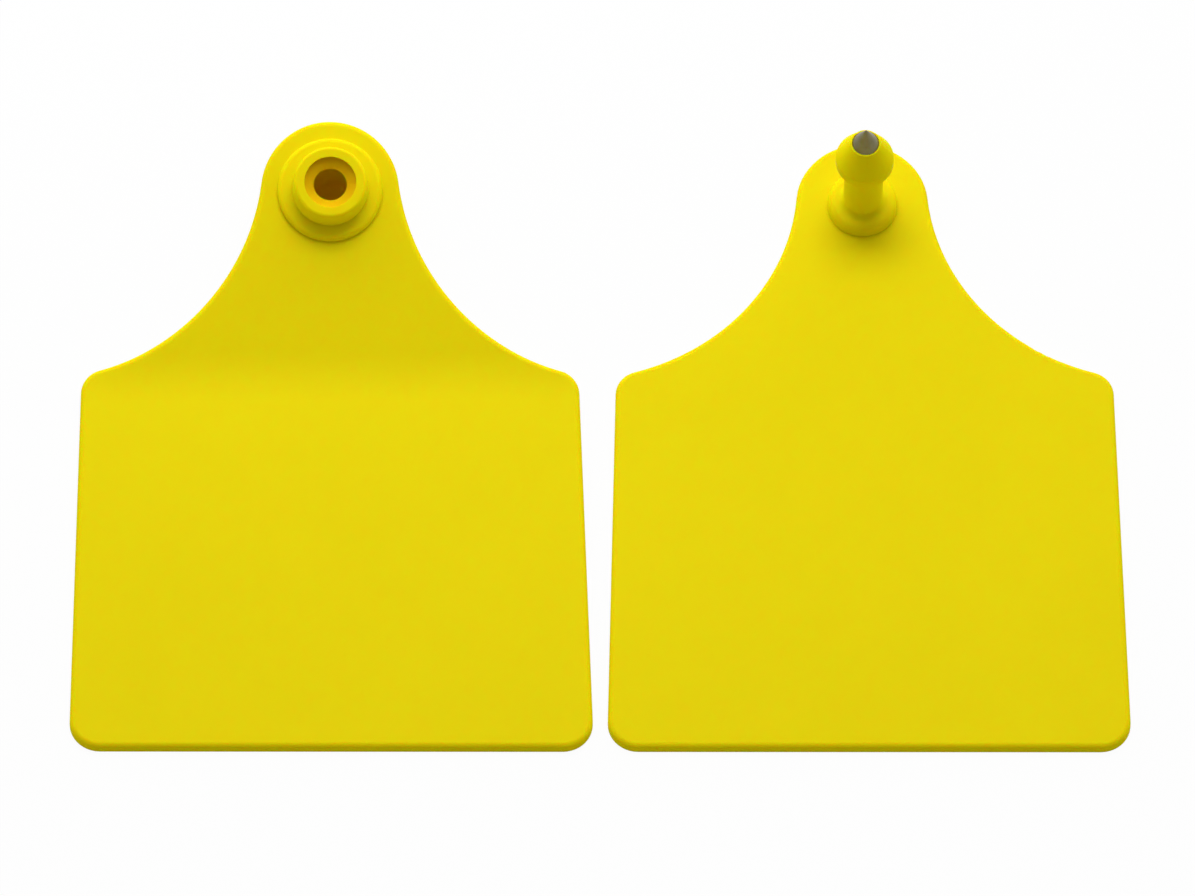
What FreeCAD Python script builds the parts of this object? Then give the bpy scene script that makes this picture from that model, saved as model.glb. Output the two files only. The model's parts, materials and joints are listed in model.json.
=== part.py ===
"""Two-piece livestock ear tag, laid out open with its halves side by side.

Each half is one moulding of flexible polyurethane: a panel, a swept neck and a round head.
The male half carries a barbed stud with a metal piercing tip moulded into its end.
The female half carries a countersunk socket whose closed cap stands out of its back.
Both lie on their backs on the ground plane, z = 0, with their heads towards +Y, the female
at -X and the male at +X.  The cap props the female's head up, so its neck bends upwards.
All lengths are in millimetres and all angles in radians unless a name says otherwise.
"""

import math
import os

from FreeCAD import Placement, Rotation, Vector
import Part

# The sheet that both halves are moulded from
sheet_thickness = 1.8
front_edge_radius = 0.8
back_edge_radius = 0.3

# Outline of a half; levels run up the tag from its bottom edge, and rises up from the shoulder
panel_bottom_width = 76.2
panel_top_width = 72.7
shoulder_level = 60.7
bottom_corner_radius = 4.4
shoulder_corner_radius = 3.8
neck_radius = 33.2
female_head_rise = 28.5
female_head_radius = 10.1
male_head_rise = 29.5
male_head_radius = 9.65
tag_gap = 1.9

# Both halves carry their stud or socket at one level, so that the pair lines up when coupled
pin_rise = 28.6

# The male half's stud; heights run up from the head's front face
stud_flange_radius = 5.1
stud_flange_height = 2.1
stud_flange_rounding = 1.0
shaft_radius = 2.86
shaft_length = 11.2
shaft_root_radius = 0.9
barb_radius = 4.25
barb_land_height = 1.7
barb_rounding = 0.3
cone_height = 4.3
cone_end_width = 0.2

# The blind hole up the stud from its back, for the applicator's pin
pin_hole_radius = 1.2
pin_hole_web = 1.2

# The metal tip moulded into the stud's end
tip_radius = 1.88
tip_height = 3.9
tip_bulge = 0.16
tip_point_radius = 0.28
tip_shank_radius = 1.0
tip_shank_length = 5.0
tip_collar_radius = 1.4
tip_collar_height = 1.0
tip_groove_width = 0.1
tip_groove_depth = 0.3

# The female half's socket
socket_flange_radius = 7.7
socket_flange_height = 1.2
socket_flange_rounding = 0.7
ring_base_radius = 5.6
ring_top_radius = 5.3
ring_height = 4.1
ring_rounding = 0.45
mouth_radius = 3.8
lip_hole_radius = 2.44
mouth_wall_depth = 0.6
countersink_depth = 1.5
lip_thickness = 0.8
chamber_clearance = 0.2
chamber_floor_radius = 3.2
chamber_floor_rounding = 0.8
tip_clearance = 0.2
cap_wall = 1.1
cap_rim_rounding = 1.4

# The upward bend of the female half's neck, which starts a little below the shoulder
bend_start_drop = 3.2
bend_radius = 28.0
steepest_bend = math.radians(60)

# Working allowances: how far a cutter runs past an open mouth, how short an edge is skipped,
# how squarely a face must look up or down to count as front or back, and search steps
cutter_overrun = 1.0
shortest_edge = 1e-6
facing_limit = 0.5
search_steps = 60

# Levels that follow up the tag
female_head_level = shoulder_level + female_head_rise
male_head_level = shoulder_level + male_head_rise
pin_level = shoulder_level + pin_rise
bend_start_level = shoulder_level - bend_start_drop
male_length = male_head_level + male_head_radius

# Heights that follow along the two axes
barb_top = stud_flange_height + shaft_length + barb_land_height
stud_end = barb_top + cone_height
shank_foot = stud_end - tip_groove_depth - tip_shank_length
pin_hole_end = shank_foot - pin_hole_web
barbed_length = barb_land_height + cone_height + tip_height
ring_top = socket_flange_height + ring_height
lip_top = ring_top - countersink_depth
lip_bottom = lip_top - lip_thickness
chamber_floor = lip_bottom - barbed_length - tip_clearance
cap_end = chamber_floor - cap_wall
cap_depth = -cap_end - sheet_thickness
chamber_radius = barb_radius + chamber_clearance
cap_base_radius = chamber_radius + cap_wall
cap_end_radius = chamber_floor_radius + cap_wall
tag_spacing = panel_bottom_width + tag_gap


def arc(centre, start, end):
    """The shorter arc about centre from start to end."""
    middle = (start - centre).normalize() + (end - centre).normalize()
    radius = (start - centre).Length
    return Part.Arc(start, centre + middle.normalize() * radius, end).toShape()


def line(start, end):
    return Part.LineSegment(start, end).toShape()


def mirrored(point):
    return Vector(-point.x, point.y, point.z)


def side_circle(radius, level):
    """Centre of the circle of this radius that touches a side line, at the given level."""
    foot = Vector(panel_bottom_width / 2, 0, 0)
    along = (Vector(panel_top_width / 2, shoulder_level, 0) - foot).normalize()
    inward = Vector(-along.y, along.x, 0)
    travel = (level - inward.y * radius) / along.y
    centre = foot + along * travel + inward * radius
    return centre, centre - inward * radius


def shoulder_circle(neck_centre):
    """Centre and side contact of the shoulder corner, which also touches the neck circle."""
    low, high = 0.0, shoulder_level
    for _ in range(search_steps):
        level = (low + high) / 2
        centre, contact = side_circle(shoulder_corner_radius, level)
        if (centre - neck_centre).Length > neck_radius + shoulder_corner_radius:
            low = level
        else:
            high = level
    return centre, contact


def tag_outline(head_radius, head_centre_level):
    """Closed outline of one half in the XY plane, symmetric about x = 0."""
    head = Vector(0, head_centre_level, 0)
    neck_level = shoulder_level + neck_radius
    reach = neck_radius + head_radius
    neck = Vector(math.sqrt(reach ** 2 - (neck_level - head.y) ** 2), neck_level, 0)
    head_contact = head + (neck - head) * (head_radius / reach)
    shoulder, side_top = shoulder_circle(neck)
    shoulder_reach = neck_radius + shoulder_corner_radius
    shoulder_contact = shoulder + (neck - shoulder) * (shoulder_corner_radius / shoulder_reach)
    corner, side_bottom = side_circle(bottom_corner_radius, bottom_corner_radius)
    bottom_end = Vector(corner.x, 0, 0)

    right = [arc(corner, bottom_end, side_bottom),
             line(side_bottom, side_top),
             arc(shoulder, side_top, shoulder_contact),
             arc(neck, shoulder_contact, head_contact)]
    crown_top = head + Vector(0, head_radius, 0)
    crown = Part.Arc(head_contact, crown_top, mirrored(head_contact)).toShape()
    left = [arc(mirrored(neck), mirrored(head_contact), mirrored(shoulder_contact)),
            arc(mirrored(shoulder), mirrored(shoulder_contact), mirrored(side_top)),
            line(mirrored(side_top), mirrored(side_bottom)),
            arc(mirrored(corner), mirrored(side_bottom), mirrored(bottom_end))]
    return Part.Wire(right + [crown] + left + [line(mirrored(bottom_end), bottom_end)])


def rounded_profile(corners):
    """Closed wire in the XZ plane through (radius, height, rounding) corners."""
    points = [Vector(radius, 0, height) for radius, height, _ in corners]
    edges = []
    ends = []
    for index, (_, _, rounding) in enumerate(corners):
        point = points[index]
        before = (points[index - 1] - point).normalize()
        after = (points[(index + 1) % len(points)] - point).normalize()
        half_angle = before.getAngle(after) / 2
        setback = rounding / math.tan(half_angle)
        entry = point + before * setback
        leave = point + after * setback
        if rounding > 0:
            centre = point + (before + after).normalize() * (rounding / math.sin(half_angle))
            edges.append(arc(centre, entry, leave))
        ends.append((entry, leave))
    for index, (_, leave) in enumerate(ends):
        next_entry = ends[(index + 1) % len(ends)][0]
        if (next_entry - leave).Length > shortest_edge:
            edges.append(line(leave, next_entry))
    return Part.Wire(Part.__sortEdges__(edges))


def turned(corners):
    """Solid of revolution about Z."""
    return Part.Face(rounded_profile(corners)).revolve(Vector(), Vector(0, 0, 1), 360)


def slope(lift):
    """Direction up the female half beyond its bend."""
    return Vector(0, math.cos(lift), math.sin(lift))


def back_point(level, lift):
    """Point of the female half's back face on its centre line, this far up the tag."""
    turned_by = min(max(level - bend_start_level, 0) / bend_radius, lift)
    on_bend = Vector(0, bend_radius * math.sin(turned_by), bend_radius * (1 - math.cos(turned_by)))
    beyond_bend = max(level - bend_start_level - bend_radius * turned_by, 0)
    start = Vector(0, min(level, bend_start_level), 0)
    return start + on_bend + slope(lift) * beyond_bend


def cap_lowest(lift):
    """Height of the cap's lowest point when the neck is bent by this angle."""
    wall_taper = math.atan2(cap_base_radius - cap_end_radius, cap_depth)
    rim_setback = cap_rim_rounding / math.tan((math.pi / 2 + wall_taper) / 2)
    rim_radius = cap_end_radius - rim_setback
    rim_depth = cap_depth - cap_rim_rounding
    rim_drop = rim_depth * math.cos(lift) + rim_radius * math.sin(lift) + cap_rim_rounding
    return back_point(pin_level, lift).z - rim_drop


def resting_lift():
    """Bend angle at which the panel lies flat and the cap just touches the ground."""
    low, high = 0.0, steepest_bend
    for _ in range(search_steps):
        lift = (low + high) / 2
        if cap_lowest(lift) > 0:
            high = lift
        else:
            low = lift
    return lift


def bent_band(lift):
    """The sheet's side section, flat, then bent upwards, then straight, drawn across all x."""
    start = Vector(0, 0, 0)
    bend_start = Vector(0, bend_start_level, 0)
    bend_end = back_point(bend_start_level + bend_radius * lift, lift)
    far_end = bend_end + slope(lift) * panel_bottom_width
    centre = bend_start + Vector(0, 0, bend_radius)
    up = Vector(0, 0, sheet_thickness)
    outward = outward_normal(lift) * sheet_thickness
    section = Part.Wire([
        line(start, bend_start),
        arc(centre, bend_start, bend_end),
        line(bend_end, far_end),
        line(far_end, far_end + outward),
        line(far_end + outward, bend_end + outward),
        arc(centre, bend_end + outward, bend_start + up),
        line(bend_start + up, start + up),
        line(start + up, start)])
    band = Part.Face(section).extrude(Vector(panel_bottom_width, 0, 0))
    band.translate(Vector(-panel_bottom_width / 2, 0, 0))
    return band


def outward_normal(lift):
    """Direction square to the female half's front face beyond the bend."""
    return Vector(0, -math.sin(lift), math.cos(lift))


def rim_edges(sheet, facing):
    """Outer edges of the faces that look up (facing 1) or down (facing -1)."""
    faces = [face for face in sheet.Faces if middle_normal(face).z * facing > facing_limit]
    edges = [edge for face in faces for edge in face.Edges]
    return [edge for edge in edges if sum(edge.isSame(other) for other in edges) == 1]


def middle_normal(face):
    u_start, u_end, v_start, v_end = face.ParameterRange
    return face.normalAt((u_start + u_end) / 2, (v_start + v_end) / 2)


def rounded_rims(sheet):
    """The sheet with its front and back rims rounded."""
    fronted = sheet.makeFillet(front_edge_radius, rim_edges(sheet, 1))
    return fronted.makeFillet(back_edge_radius, rim_edges(fronted, -1))


def male_sheet():
    outline = Part.Face(tag_outline(male_head_radius, male_head_level))
    return rounded_rims(outline.extrude(Vector(0, 0, sheet_thickness)))


def stud():
    """Flange, shaft and barbed cone, standing on the origin of its own axis."""
    cone_end = tip_radius + tip_groove_width + cone_end_width
    return turned([
        (0, -sheet_thickness / 2, 0),
        (stud_flange_radius, -sheet_thickness / 2, 0),
        (stud_flange_radius, stud_flange_height, stud_flange_rounding),
        (shaft_radius, stud_flange_height, shaft_root_radius),
        (shaft_radius, stud_flange_height + shaft_length, 0),
        (barb_radius, stud_flange_height + shaft_length, barb_rounding),
        (barb_radius, barb_top, barb_rounding),
        (cone_end, stud_end, 0),
        (0, stud_end, 0)])


def tip_shank_corners():
    """The shank's outline below the tip's shoulder: a neck with an anchoring collar at its foot."""
    return [(0, shank_foot, 0),
            (tip_collar_radius, shank_foot, 0),
            (tip_collar_radius, shank_foot + tip_collar_height, 0),
            (tip_shank_radius, shank_foot + tip_collar_height, 0),
            (tip_shank_radius, stud_end - tip_groove_depth, 0)]


def pin_hole():
    """Blind hole for the applicator's pin, open at the head's back face."""
    return turned([
        (0, -sheet_thickness - cutter_overrun, 0),
        (pin_hole_radius, -sheet_thickness - cutter_overrun, 0),
        (pin_hole_radius, pin_hole_end, 0),
        (0, pin_hole_end, 0)])


def tip_pocket():
    """What the tip displaces in the stud: its shank, and a shallow recess with a fine groove."""
    recess_radius = tip_radius + tip_groove_width
    return turned(tip_shank_corners() + [
        (recess_radius, stud_end - tip_groove_depth, 0),
        (recess_radius, stud_end + cutter_overrun, 0),
        (0, stud_end + cutter_overrun, 0)])


def metal_tip():
    """Turned point with slightly bulging sides and a blunted end, on its shank."""
    taper = math.atan2(tip_radius, tip_height)
    point_centre = Vector(0, 0, stud_end + tip_height - tip_point_radius)
    apex = point_centre + Vector(0, 0, tip_point_radius)
    flank_foot = Vector(tip_radius, 0, stud_end)
    flank_top = point_centre + Vector(math.cos(taper), 0, math.sin(taper)) * tip_point_radius
    along = (flank_top - flank_foot).normalize()
    bulge = Vector(along.z, 0, -along.x) * tip_bulge
    flank = Part.Arc(flank_foot, (flank_foot + flank_top) * 0.5 + bulge, flank_top).toShape()
    corners = [Vector(radius, 0, height) for radius, height, _ in tip_shank_corners()]
    corners += [Vector(tip_radius, 0, stud_end - tip_groove_depth), flank_foot]
    shank = [line(start, end) for start, end in zip(corners, corners[1:])]
    outline = shank + [flank, arc(point_centre, flank_top, apex), line(apex, corners[0])]
    return Part.Face(Part.Wire(outline)).revolve(Vector(), Vector(0, 0, 1), 360)


def socket_body():
    """Flange and ring on the front and closed cap on the back, about the socket axis."""
    return turned([
        (0, cap_end, 0),
        (cap_end_radius, cap_end, cap_rim_rounding),
        (cap_base_radius, -sheet_thickness, 0),
        (cap_base_radius, -sheet_thickness / 2, 0),
        (socket_flange_radius, -sheet_thickness / 2, 0),
        (socket_flange_radius, socket_flange_height, socket_flange_rounding),
        (ring_base_radius, socket_flange_height, 0),
        (ring_top_radius, ring_top, ring_rounding),
        (0, ring_top, 0)])


def socket_cavity():
    """Straight-walled mouth, countersink, snap lip and the chamber for the stud's barbed end."""
    return turned([
        (0, chamber_floor, 0),
        (chamber_floor_radius, chamber_floor, chamber_floor_rounding),
        (chamber_radius, lip_bottom, 0),
        (lip_hole_radius, lip_bottom, 0),
        (lip_hole_radius, lip_top, 0),
        (mouth_radius, ring_top - mouth_wall_depth, 0),
        (mouth_radius, ring_top + cutter_overrun, 0),
        (0, ring_top + cutter_overrun, 0)])


def female_sheet(lift):
    """The bent sheet, cut to the outline as it is seen from straight above."""
    outline = Part.Face(tag_outline(female_head_radius, back_point(female_head_level, lift).y))
    prism = outline.extrude(Vector(0, 0, female_head_level))
    return rounded_rims(bent_band(lift).common(prism).Solids[0])


def female_half():
    """The female moulding, bent so that it rests on its panel and its cap."""
    lift = resting_lift()
    front_centre = back_point(pin_level, lift) + outward_normal(lift) * sheet_thickness
    on_axis = Placement(front_centre, Rotation(Vector(1, 0, 0), math.degrees(lift)))
    body = socket_body()
    cavity = socket_cavity()
    body.Placement = on_axis
    cavity.Placement = on_axis
    return female_sheet(lift).fuse(body).removeSplitter().cut(cavity)


def male_half():
    """The male moulding and its tip, in their shared place."""
    on_axis = Vector(0, pin_level, sheet_thickness)
    body = stud()
    hollows = [tip_pocket(), pin_hole()]
    tip = metal_tip()
    for piece in [body, tip] + hollows:
        piece.translate(on_axis)
    return male_sheet().fuse(body).removeSplitter().cut(hollows), tip


def save(name, shape, place):
    """Write one node, moved to its place; a node is always a single solid."""
    solid = shape.Solids[0]
    solid.translate(place)
    solid.exportStep(os.path.join("parts", name + ".step"))
    box = solid.optimalBoundingBox()
    print(f"{name}: solids {len(shape.Solids)}, valid {solid.isValid()}, {solid.Volume:.1f} mm3")
    print(f"  x {box.XMin:.2f} {box.XMax:.2f}, y {box.YMin:.2f} {box.YMax:.2f}, "
          f"z {box.ZMin:.2f} {box.ZMax:.2f}")


def main():
    os.makedirs("parts", exist_ok=True)
    female_place = Vector(-tag_spacing / 2, -male_length / 2, 0)
    male_place = Vector(tag_spacing / 2, -male_length / 2, 0)
    male, tip = male_half()
    save("female_tag", female_half(), female_place)
    save("male_tag", male, male_place)
    save("metal_tip", tip, male_place)
    print(f"neck bent up by {math.degrees(resting_lift()):.2f} degrees, cap {cap_depth:.2f} mm deep")


main()
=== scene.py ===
# %% [markdown]
# # A two-piece livestock ear tag
#
# A tag like this is two small mouldings in soft yellow polyurethane.  The male half carries a
# barbed stud with a metal point, and the female half a socket that the barb snaps into through
# the animal's ear.  Here both halves lie open, side by side, with their heads away from us.
#
# The solids come ready made and stay where they are.  This lesson gives them what a camera
# sees: plastic that light sinks into, a turned steel point, plain light and a pale floor.  Only
# the point is shaped again here, finer than its solid.

# %% Load the solids
import json
import math

import bpy
from mathutils import Matrix, Vector


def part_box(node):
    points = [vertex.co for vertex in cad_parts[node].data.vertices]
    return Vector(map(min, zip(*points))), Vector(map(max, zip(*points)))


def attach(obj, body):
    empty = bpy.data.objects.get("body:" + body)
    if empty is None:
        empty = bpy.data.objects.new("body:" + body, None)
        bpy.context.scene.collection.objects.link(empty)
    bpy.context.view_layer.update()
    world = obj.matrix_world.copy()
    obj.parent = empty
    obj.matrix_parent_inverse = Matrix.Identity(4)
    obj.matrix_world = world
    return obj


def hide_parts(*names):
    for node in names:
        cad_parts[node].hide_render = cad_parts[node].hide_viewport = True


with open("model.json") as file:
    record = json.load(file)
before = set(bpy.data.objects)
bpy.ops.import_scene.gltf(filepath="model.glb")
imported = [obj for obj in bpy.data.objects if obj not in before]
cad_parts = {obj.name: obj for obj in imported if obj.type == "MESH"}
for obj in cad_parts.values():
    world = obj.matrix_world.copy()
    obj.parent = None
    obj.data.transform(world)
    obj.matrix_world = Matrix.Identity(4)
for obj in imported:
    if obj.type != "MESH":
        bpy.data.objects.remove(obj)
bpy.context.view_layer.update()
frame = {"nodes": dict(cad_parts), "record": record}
female_tag = frame["nodes"]["female_tag"]
male_tag = frame["nodes"]["male_tag"]
MM = 0.001

# %% [markdown]
# ## Arithmetic on shader sockets
#
# A finish is mostly small sums: a mask times a strength, one minus a mask, a height plus some
# noise.  Wiring Math nodes by hand hides those sums, so a wire here is a little object that
# turns + - * and / into Math nodes.  Everything else comes from one method, add, which takes a
# node's type, the settings that must be made first, and what goes into its sockets.


# %% A wire that does sums, and a tree that adds nodes
class Wire:
    """One output socket of a node tree, ready for arithmetic."""

    def __init__(self, tree, socket):
        self.tree = tree
        self.socket = socket

    def sum_with(self, operation, first, second):
        return self.tree.add("ShaderNodeMath", {"operation": operation}, {0: first, 1: second})

    def __add__(self, other):
        return self.sum_with("ADD", self, other)

    def __sub__(self, other):
        return self.sum_with("SUBTRACT", self, other)

    def __rsub__(self, other):
        return self.sum_with("SUBTRACT", other, self)

    def __mul__(self, other):
        return self.sum_with("MULTIPLY", self, other)

    def __truediv__(self, other):
        return self.sum_with("DIVIDE", self, other)

    def clamped(self):
        """This value, held between 0 and 1."""
        settings = {"operation": "ADD", "use_clamp": True}
        return self.tree.add("ShaderNodeMath", settings, {0: self, 1: 0.0})

    __radd__ = __add__
    __rmul__ = __mul__


class Tree:
    """A node tree whose nodes are added one at a time."""

    def __init__(self, nodes, links):
        self.nodes = nodes
        self.links = links

    def add(self, kind, settings, sockets, output=0):
        node = self.nodes.new(kind)
        for name, value in settings.items():
            setattr(node, name, value)
        for name, value in sockets.items():
            if isinstance(value, Wire):
                self.links.new(value.socket, node.inputs[name])
            else:
                node.inputs[name].default_value = value
        if len(node.outputs) == 0:
            return node
        return Wire(self, node.outputs[output])


def new_finish(name):
    """An empty material and the tree that its nodes go into."""
    material = bpy.data.materials.new(name)
    material.use_nodes = True
    material.node_tree.nodes.clear()
    return material, Tree(material.node_tree.nodes, material.node_tree.links)


# %% [markdown]
# ## Noise and mixing
#
# Two small helpers serve every finish.  Noise is read from Object coordinates, which are metres
# in the solids' own frame, so its scale is simply how many bumps there are in a metre.


# %% Noise and mixing helpers
def noise(tree, place, per_metre, detail=2.0):
    sockets = {"Vector": place, "Scale": per_metre, "Detail": detail}
    return tree.add("ShaderNodeTexNoise", {}, sockets)


def mixed(tree, amount, first, second):
    """A colour between first, where amount is 0, and second, where it is 1."""
    sockets = {0: amount, 6: first, 7: second}
    return tree.add("ShaderNodeMix", {"data_type": "RGBA"}, sockets, output=2)


# %% [markdown]
# ## Painted light and shade in the socket
#
# What light there is deep in the socket has come through its wall, so the yellow turns orange in
# the mouth and brown behind the lip.  Such light could be left to long paths through the wall,
# but those are slow and noisy.  Here that light and shade are painted into the base colour
# instead, by where a point lies along the socket's axis and how far from it.  The record's mount
# for the lip gives that axis.

# %% Inside the socket
# Heights run up the socket's axis from the middle of the lip that the barb snaps past.
MOUTH_EDGE_MM = 1.75
LIP_FACE_MM = 0.45
CHAMBER_FLOOR_MM = -10.9
SOCKET_WALL_MM = 4.5
FADE_MM = 0.15
mounts = {mount["name"]: mount for mount in frame["record"]["mounts"]}
lip = mounts["socket_lip"]


def inside_socket(tree, place):
    """Two masks where light and shade are painted: inside the socket, and behind its lip."""
    from_lip = tree.add("ShaderNodeVectorMath", {"operation": "SUBTRACT"}, {0: place, 1: lip["pos_m"]})
    axis = {0: from_lip, 1: lip["axis"]}
    height = tree.add("ShaderNodeVectorMath", {"operation": "DOT_PRODUCT"}, axis, output="Value")
    across = tree.add("ShaderNodeVectorMath", {"operation": "CROSS_PRODUCT"}, axis)
    off_axis = tree.add("ShaderNodeVectorMath", {"operation": "LENGTH"}, {0: across}, output="Value")
    fade = FADE_MM * MM
    within = ((SOCKET_WALL_MM * MM - off_axis) / fade).clamped()
    sunk = ((MOUTH_EDGE_MM * MM - height) / fade).clamped()
    above_floor = ((height - CHAMBER_FLOOR_MM * MM) / fade).clamped()
    behind_lip = ((LIP_FACE_MM * MM - height) / fade).clamped()
    return within * sunk * above_floor, behind_lip


# %% [markdown]
# ## Soft yellow polyurethane
#
# The plastic is dense with pigment, yet light still sinks a fraction of a millimetre into it
# before it comes out again.  Red light goes furthest and blue is swallowed at once, which a
# subsurface radius per colour says directly, and which softens the edges of every shadow.
#
# The moulded skin is satin: a very fine grain, a slow unevenness from the cooling plastic, and
# hardly any mirror reflection.

# %% The polyurethane finish
YELLOW_LOW = (0.770, 0.645, 0.0012, 1)
YELLOW_HIGH = (0.820, 0.693, 0.0020, 1)
# Painted light and shade in the socket: a darker orange for the mouth, a deep orange behind the lip.
MOUTH_PAINTED_SHADE = (0.73, 0.45, 0.0012, 1)
CHAMBER_PAINTED_THROUGH_LIGHT = (0.97, 0.71, 0.0012, 1)
SUNK_LIGHT_MM = (0.50, 0.20, 0.04)


def tag_polyurethane():
    material, tree = new_finish("tag_polyurethane")
    place = tree.add("ShaderNodeTexCoord", {}, {}, output="Object")
    flow = noise(tree, place, 22.0, detail=3.0)
    cloud = noise(tree, place, 140.0)
    tone = flow * 0.7 + cloud * 0.3
    skin_colour = mixed(tree, tone, YELLOW_LOW, YELLOW_HIGH)
    inside, behind_lip = inside_socket(tree, place)
    # Painted light and shade: inside the socket the base colour turns darker orange at the mouth and
    # deep orange behind the lip, for light that comes through the wall.
    painted_socket_light = mixed(tree, behind_lip, MOUTH_PAINTED_SHADE, CHAMBER_PAINTED_THROUGH_LIGHT)
    colour = mixed(tree, inside, skin_colour, painted_socket_light)

    grain = noise(tree, place, 3600.0, detail=3.0)
    satin = 0.50 + 0.10 * grain - 0.05 * cloud
    skin = grain * 0.006 + noise(tree, place, 320.0) * 0.012
    relief = tree.add("ShaderNodeBump", {}, {"Strength": 0.5, "Distance": MM, "Height": skin})

    surface = tree.add("ShaderNodeBsdfPrincipled", {"subsurface_method": "RANDOM_WALK"}, {
        "Base Color": colour,
        "Roughness": satin,
        "Normal": relief,
        "Subsurface Weight": 1.0,
        "Subsurface Radius": SUNK_LIGHT_MM,
        "Subsurface Scale": MM,
        "Specular IOR Level": 0.02,
        "IOR": 1.5,
    })
    tree.add("ShaderNodeOutputMaterial", {}, {"Surface": surface})
    return material


yellow = tag_polyurethane()
for half in (female_tag, male_tag):
    for slot in half.material_slots:
        slot.material = yellow
print("polyurethane nodes:", len(yellow.node_tree.nodes))

# %% [markdown]
# ## Turned steel
#
# The point is turned from steel, so its skin carries fine rings round the axis.  The rings are
# bands of height along z, a little broken up by noise.  The metal is dull and dark, and its touch
# of olive is a painted reflection of the yellow plastic round it; the yellow plastic that it
# mirrors deepens that on its lower side.

# %% The steel finish
# Both steel colours carry an olive tint, a painted reflection of the yellow plastic.
STEEL_DARK_WITH_PAINTED_REFLECTION = (0.13, 0.112, 0.052, 1)
STEEL_LIGHT_WITH_PAINTED_REFLECTION = (0.22, 0.195, 0.100, 1)


def turned_steel():
    material, tree = new_finish("turned_steel")
    place = tree.add("ShaderNodeTexCoord", {}, {}, output="Object")
    rings = tree.add("ShaderNodeTexWave", {"bands_direction": "Z", "wave_profile": "SIN"}, {
        "Vector": place,
        "Scale": 1500.0,
        "Distortion": 1.2,
        "Detail": 2.0,
        "Detail Scale": 1.5,
    })
    smears = noise(tree, place, 900.0, detail=4.0)
    colour = mixed(tree, smears, STEEL_DARK_WITH_PAINTED_REFLECTION, STEEL_LIGHT_WITH_PAINTED_REFLECTION)
    rough = 0.24 + 0.16 * smears
    relief = tree.add("ShaderNodeBump", {}, {
        "Strength": 0.25,
        "Distance": 0.02 * MM,
        "Height": rings + smears * 0.5,
    })
    surface = tree.add("ShaderNodeBsdfPrincipled", {}, {
        "Base Color": colour,
        "Metallic": 1.0,
        "Roughness": rough,
        "Normal": relief,
    })
    tree.add("ShaderNodeOutputMaterial", {}, {"Surface": surface})
    return material


steel = turned_steel()

# %% [markdown]
# ## The turned point
#
# A lathe makes the point, so one rule gives its whole shape: a radius for every height, swept
# round the axis.  Geometry Nodes can do just that with a flat grid.  A column's place across the
# grid becomes its angle round the axis, and a row's place up the grid becomes a height and a
# radius: first the foot and wall of the shank inside the plastic, then the shoulder, then the
# cone with the fine grooves that the cutter leaves and a blunted end.  Merging by distance
# closes the seam and the two poles.

# %% The lathe as a node tree
COLUMNS = 72
SHANK_ROWS = 3
CONE_ROWS = 96
BLUNTNESS = 0.05
WELD_MM = 0.001
SIZES = ("Foot", "Shoulder", "End", "Shank Radius", "Radius", "Grooves", "Groove Depth")


def lathe_tree():
    group = bpy.data.node_groups.new("turned_point", "GeometryNodeTree")
    group.interface.new_socket("Geometry", in_out="OUTPUT", socket_type="NodeSocketGeometry")
    for size in SIZES:
        group.interface.new_socket(size, in_out="INPUT", socket_type="NodeSocketFloat")
    tree = Tree(group.nodes, group.links)
    given = {size: tree.add("NodeGroupInput", {}, {}, output=size) for size in SIZES}

    rows = SHANK_ROWS + CONE_ROWS + 1
    grid = tree.add("GeometryNodeMeshGrid", {}, {
        "Size X": 1.0,
        "Size Y": 1.0,
        "Vertices X": COLUMNS + 1,
        "Vertices Y": rows,
    })
    spot = tree.add("GeometryNodeInputPosition", {}, {})
    angle = (tree.add("ShaderNodeSeparateXYZ", {}, {0: spot}, output="X") + 0.5) * (2 * math.pi)
    row = (tree.add("ShaderNodeSeparateXYZ", {}, {0: spot}, output="Y") + 0.5) * (rows - 1)

    along = ((row - SHANK_ROWS) / CONE_ROWS).clamped()
    shank_height = (given["Shoulder"] - given["Foot"]) * (row - 1).clamped()
    height = given["Foot"] + shank_height + (given["End"] - given["Shoulder"]) * along
    step = (given["Radius"] - given["Shank Radius"]) * (row - 2).clamped()
    full = given["Shank Radius"] * row.clamped() + step
    left = 1.0 - along
    blunted = left * (left + BLUNTNESS)
    taper = blunted.sum_with("POWER", blunted, 0.5)
    wave = given["Grooves"] * along * (2 * math.pi)
    groove = 1.0 - given["Groove Depth"] * (1.0 - wave.sum_with("COSINE", wave, 0.0))
    radius = full * taper * groove / math.sqrt(1 + BLUNTNESS)

    turned = tree.add("ShaderNodeCombineXYZ", {}, {
        "X": radius * angle.sum_with("COSINE", angle, 0.0),
        "Y": radius * angle.sum_with("SINE", angle, 0.0),
        "Z": height,
    })
    swept = tree.add("GeometryNodeSetPosition", {}, {"Geometry": grid, "Position": turned})
    closing = {"Geometry": swept, "Distance": WELD_MM * MM}
    closed = tree.add("GeometryNodeMergeByDistance", {}, closing)
    real = tree.add("GeometryNodeRealizeInstances", {}, {"Geometry": closed})
    dressed = tree.add("GeometryNodeSetMaterial", {}, {"Geometry": real, "Material": steel})
    tree.add("NodeGroupOutput", {}, {"Geometry": dressed})
    return group


# %% The point as a plain mesh
SHANK_RADIUS_MM = 1.0
RIM_COVER_MM = 0.06
GROOVES = 16.0
GROOVE_DEPTH = 0.004
SHARP_ANGLE = math.radians(35)


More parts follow.
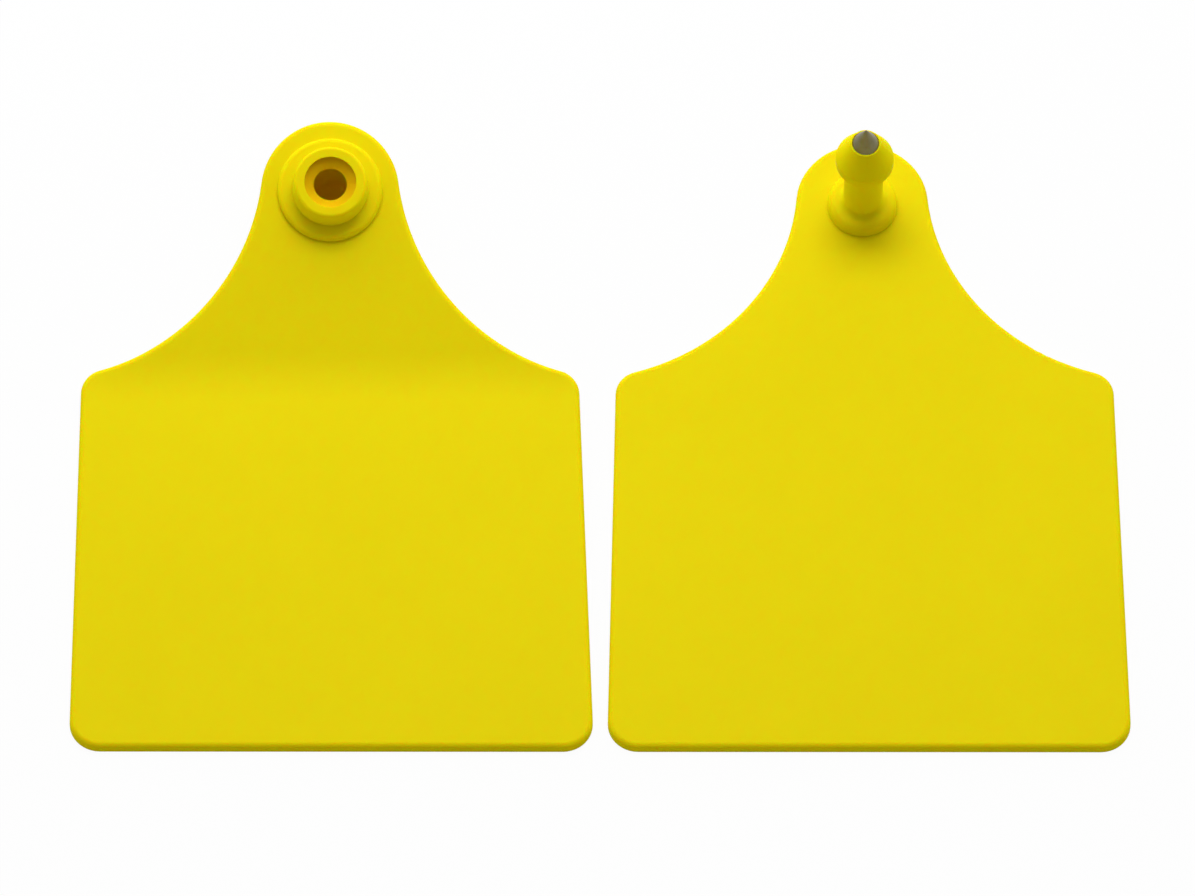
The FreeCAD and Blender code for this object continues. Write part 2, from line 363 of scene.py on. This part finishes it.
def mesh_from(group, sizes):
    """The mesh that the tree makes with these sizes, free of its modifier."""
    maker = bpy.data.objects.new("maker", bpy.data.meshes.new("maker"))
    bpy.context.scene.collection.objects.link(maker)
    modifier = maker.modifiers.new("shape", "NODES")
    modifier.node_group = group
    for item in group.interface.items_tree:
        if item.name in sizes:
            modifier[item.identifier] = sizes[item.name]
    made = maker.evaluated_get(bpy.context.evaluated_depsgraph_get())
    mesh = bpy.data.meshes.new_from_object(made)
    maker.modifiers.remove(modifier)
    bpy.data.objects.remove(maker)
    return mesh


def turned_point():
    low, high = (Vector(corner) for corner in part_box("metal_tip"))
    plastic_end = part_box("male_tag")[1][2]
    mesh = mesh_from(lathe_tree(), {
        "Foot": low.z,
        "Shoulder": plastic_end,
        "End": high.z,
        "Shank Radius": SHANK_RADIUS_MM * MM,
        "Radius": (high.x - low.x) / 2 + RIM_COVER_MM * MM,
        "Grooves": GROOVES,
        "Groove Depth": GROOVE_DEPTH,
    })
    mesh.name = "turned_point"
    mesh.transform(Matrix.Translation(((low.x + high.x) / 2, (low.y + high.y) / 2, 0)))
    mesh.shade_smooth()
    mesh.set_sharp_from_angle(angle=SHARP_ANGLE)
    point = bpy.data.objects.new("turned_point", mesh)
    bpy.context.scene.collection.objects.link(point)
    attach(point, "root")
    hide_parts("metal_tip")
    print("turned point faces:", len(mesh.polygons), "materials:", len(mesh.materials))


turned_point()

# %% [markdown]
# ## Floor and light
#
# The tags lie on a white table under soft light from beyond their heads, so everything that
# faces the viewer is a little darker than what faces up.  The floor shows as white to the
# camera and in reflections, and its pale paint sends some light back up under the edges.

# %% Floor
FLOOR_SIDE = 4.0
FLOOR_DROP_MM = 0.02
FLOOR_PAINT = (0.75, 0.75, 0.75, 1)
FLOOR_SHOWN_WHITE = 0.96


def seen_rays(tree):
    """One for a ray that shows the place directly, in a mirror or through glass, else zero."""
    direct = tree.add("ShaderNodeLightPath", {}, {}, output="Is Camera Ray")
    mirrored = tree.add("ShaderNodeLightPath", {}, {}, output="Is Glossy Ray")
    through = tree.add("ShaderNodeLightPath", {}, {}, output="Is Transmission Ray")
    return direct + mirrored + through


def floor_finish():
    material, tree = new_finish("white_table")
    seen = seen_rays(tree)
    paint = tree.add("ShaderNodeBsdfDiffuse", {}, {"Color": FLOOR_PAINT})
    white = tree.add("ShaderNodeEmission", {}, {"Color": (1, 1, 1, 1), "Strength": 1.0})
    shown = tree.add("ShaderNodeMixShader", {}, {0: FLOOR_SHOWN_WHITE * seen, 1: paint, 2: white})
    tree.add("ShaderNodeOutputMaterial", {}, {"Surface": shown})
    return material


def make_floor():
    half = FLOOR_SIDE / 2
    corners = [(-half, -half, 0), (half, -half, 0), (half, half, 0), (-half, half, 0)]
    mesh = bpy.data.meshes.new("floor")
    mesh.from_pydata(corners, [], [(0, 1, 2, 3)])
    floor = bpy.data.objects.new("floor", mesh)
    bpy.context.scene.collection.objects.link(floor)
    floor.location.z = -FLOOR_DROP_MM * MM
    mesh.materials.append(floor_finish())


make_floor()


# %% Light
def aimed(place, target):
    """Placement of a lamp or camera at place that looks at target."""
    turn = (Vector(target) - Vector(place)).to_track_quat("-Z", "Y")
    return Matrix.Translation(place) @ turn.to_matrix().to_4x4()


def soft_lamp(name, place, target, width, height, watts):
    data = bpy.data.lights.new(name, "AREA")
    data.shape = "RECTANGLE"
    data.size = width
    data.size_y = height
    data.energy = watts
    lamp = bpy.data.objects.new(name, data)
    bpy.context.scene.collection.objects.link(lamp)
    lamp.matrix_world = aimed(place, target)
    lamp.visible_camera = False


def sky(strength, lean):
    """A white dome that gets brighter towards +Y, beyond the heads, by the share lean."""
    world = bpy.data.worlds.new("studio")
    bpy.context.scene.world = world
    world.use_nodes = True
    world.node_tree.nodes.clear()
    tree = Tree(world.node_tree.nodes, world.node_tree.links)
    seen = seen_rays(tree)
    way = tree.add("ShaderNodeTexCoord", {}, {}, output="Generated")
    ahead = tree.add("ShaderNodeSeparateXYZ", {}, {0: way}, output="Y")
    dome = strength * (1.0 + lean * ahead)
    level = dome * (1.0 - seen) + seen
    white = tree.add("ShaderNodeBackground", {}, {"Color": (1, 1, 1, 1), "Strength": level})
    tree.add("ShaderNodeOutputWorld", {}, {"Surface": white})


sky(0.55, 0.75)
soft_lamp("window", (0.0, 0.24, 0.58), (0.0, 0.0, 0.0), 0.40, 0.22, 1.90)
soft_lamp("head_light", (-0.02, 0.14, 0.075), (0.0, 0.035, 0.0), 0.28, 0.05, 0.068)

# %% [markdown]
# ## Camera
#
# The view is from the bottom edges' side, 28 degrees off straight down, through a long lens so
# that parallel edges stay parallel.

# %% Camera
TILT = math.radians(28.0)
SWING = math.radians(2.2)
ROLL = math.radians(2.0)
FRAME_WIDTH = 174.45 * MM
AIM_UP = 0.12 * MM
AIM_RIGHT = -0.05 * MM
LENS_MM = 800.0


def make_camera():
    off_axis = math.sin(TILT)
    back = Vector((-off_axis * math.sin(SWING), -off_axis * math.cos(SWING), math.cos(TILT)))
    across = Vector((0, 0, 1)).cross(back).normalized()
    upward = back.cross(across)
    right = across * math.cos(ROLL) + upward * math.sin(ROLL)
    up = upward * math.cos(ROLL) - across * math.sin(ROLL)
    data = bpy.data.cameras.new("camera")
    data.lens = LENS_MM
    distance = FRAME_WIDTH * data.lens / data.sensor_width
    target = up * AIM_UP + right * AIM_RIGHT
    data.clip_start = distance / 10
    data.clip_end = distance * 10
    camera = bpy.data.objects.new("camera", data)
    bpy.context.scene.collection.objects.link(camera)
    turn = Matrix((right, up, back)).transposed().to_4x4()
    camera.matrix_world = Matrix.Translation(target + back * distance) @ turn
    bpy.context.scene.camera = camera
    return distance


print("camera distance, m:", round(make_camera(), 2))
bpy.context.scene.view_settings.view_transform = "Standard"
